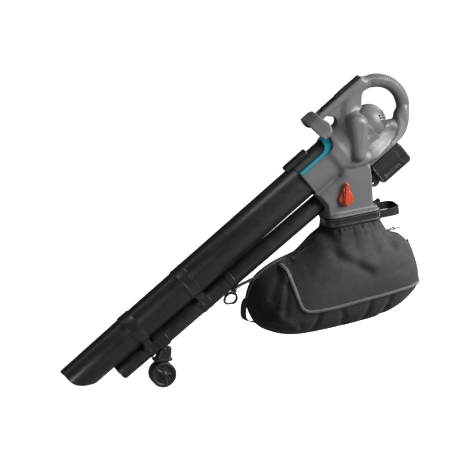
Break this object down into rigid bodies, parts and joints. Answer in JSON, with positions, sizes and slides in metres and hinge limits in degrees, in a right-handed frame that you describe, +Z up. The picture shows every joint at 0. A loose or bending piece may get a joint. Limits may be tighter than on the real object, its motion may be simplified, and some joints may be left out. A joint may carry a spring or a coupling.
{
  "type": "leaf vacuum mulcher",
  "caption": "Cordless garden blower and leaf vacuum with a shredding fan, long suction tube over a slim blower tube, support wheels, ring handle and hanging collection bag.",
  "frame": {"origin": "point on the ground midway between the two support wheels, straight below their axle, with the machine in its working attitude", "axes": "+Z up; +X to the machine's rear, from the suction mouth towards the battery; +Y to its right, so the mode lever is on the -Y side"},
  "size_m": [1.0885, 0.219, 0.8923],
  "materials": {
    "tube_black": "glossy black moulded tube with fine flow lines",
    "coupling_black": "fine-grained black moulding",
    "housing_grey": "satin dark grey fine spark-eroded texture",
    "accent_teal": "smooth teal trim",
    "lever_orange": "glossy orange",
    "grip_soft": "soft-touch dimpled elastomer",
    "panel_black": "piano black panel",
    "bag_fabric": "dark grey woven polyester",
    "webbing": "black woven webbing",
    "battery_black": "black ribbed battery casing",
    "steel": "plated steel",
    "blade_steel": "hardened steel",
    "fan_plastic": "glass-filled black fan",
    "stator_iron": "laminated iron",
    "copper": "plated contact",
    "board_green": "printed circuit board",
    "cell_blue": "shrink-wrapped cell",
    "seal_rubber": "foam rubber seal",
    "wheel_black": "moulded wheel",
    "wire_red": "insulated wire",
    "zip_black": "coil zip"
  },
  "bodies": {
    "machine": {"suction_nozzle": "tube_black", "suction_tube_middle": "tube_black", "suction_tube_upper": "tube_black", "blower_nozzle": "tube_black", "blower_coupling_lower": "coupling_black", "blower_tube_middle": "tube_black", "blower_coupling_upper": "coupling_black", "blower_tube_upper": "tube_black", "tube_bridges": "coupling_black", "wheel_bracket": "coupling_black", "wheel_axle": "steel", "axle_caps": "wheel_black", "strap_hook": "coupling_black", "strap_eyelet": "steel", "housing_left": "housing_grey", "housing_right": "housing_grey", "housing_screws": "steel", "inlet_socket": "tube_black", "accent_trim": "accent_teal", "front_handle": "housing_grey", "front_handle_pad": "grip_soft", "grip_cover": "grip_soft", "control_panel": "panel_black", "status_window": "panel_black", "power_switch": "coupling_black", "motor_bearings": "steel", "motor_stator": "stator_iron", "motor_end_plate": "fan_plastic", "motor_cover": "housing_grey", "battery_dock": "coupling_black", "battery_contacts": "copper", "control_board": "board_green", "wiring": "wire_red", "outlet_seal": "seal_rubber", "bag_collar": "coupling_black", "latch_pin": "steel", "bag_carry_loop": "coupling_black", "bag_body": "bag_fabric", "bag_panel": "bag_fabric", "bag_front_handle": "webbing", "bag_zip": "zip_black", "bag_strap": "webbing"},
    "wheel_left": {"wheel_left": "wheel_black"},
    "wheel_right": {"wheel_right": "wheel_black"},
    "rotor": {"rotor_shaft": "steel", "rotor_core": "stator_iron", "impeller": "fan_plastic", "shredder_blade": "blade_steel", "impeller_nut": "steel"},
    "mode_selector": {"diverter_drum": "fan_plastic", "mode_lever": "lever_orange", "lever_screw": "steel"},
    "power_slider": {"power_slider": "coupling_black"},
    "tube_release_button": {"tube_release_button": "coupling_black"},
    "battery": {"battery_case_upper": "battery_black", "battery_case_lower": "battery_black", "battery_cells": "cell_blue"},
    "battery_latch": {"battery_latch": "battery_black"},
    "collar_latch": {"collar_latch": "coupling_black"},
    "bag_d_ring": {"bag_d_ring": "steel"}
  },
  "joints": [
    {"name": "wheel_left_spin", "type": "hinge", "parent": "machine", "child": "wheel_left", "pos_m": [0, -0.014, 0.038], "axis": [0, 1, 0], "continuous": true},
    {"name": "wheel_right_spin", "type": "hinge", "parent": "machine", "child": "wheel_right", "pos_m": [0, 0.014, 0.038], "axis": [0, 1, 0], "continuous": true},
    {"name": "rotor_spin", "type": "hinge", "parent": "machine", "child": "rotor", "pos_m": [0.58297, 0, 0.71437], "axis": [0.7826, 0, 0.6225], "continuous": true},
    {"name": "mode_turn", "type": "hinge", "parent": "machine", "child": "mode_selector", "pos_m": [0.545, 0, 0.5385], "axis": [0, -1, 0], "range_deg": [0, 90]},
    {"name": "power_slide", "type": "slide", "parent": "machine", "child": "power_slider", "axis": [0.7826, 0, 0.6225], "range_m": [0, 0.03]},
    {"name": "tube_release_slide", "type": "slide", "parent": "machine", "child": "tube_release_button", "axis": [0.7826, 0, 0.6225], "range_m": [0, 0.008], "stiffness_N_per_m": 200},
    {"name": "battery_slide", "type": "slide", "parent": "machine", "child": "battery", "axis": [0.7826, 0, 0.6225], "range_m": [0, 0.112]},
    {"name": "battery_latch_press", "type": "slide", "parent": "battery", "child": "battery_latch", "axis": [-0.7826, 0, -0.6225], "range_m": [0, 0.003], "stiffness_N_per_m": 300},
    {"name": "collar_latch_tilt", "type": "hinge", "parent": "machine", "child": "collar_latch", "pos_m": [0.65837, 0, 0.48993], "axis": [0, 1, 0], "range_deg": [0, 35]},
    {"name": "d_ring_swing", "type": "hinge", "parent": "machine", "child": "bag_d_ring", "pos_m": [0.7125, 0, 0.424], "axis": [0, 1, 0], "range_deg": [-60, 15]}
  ]
}
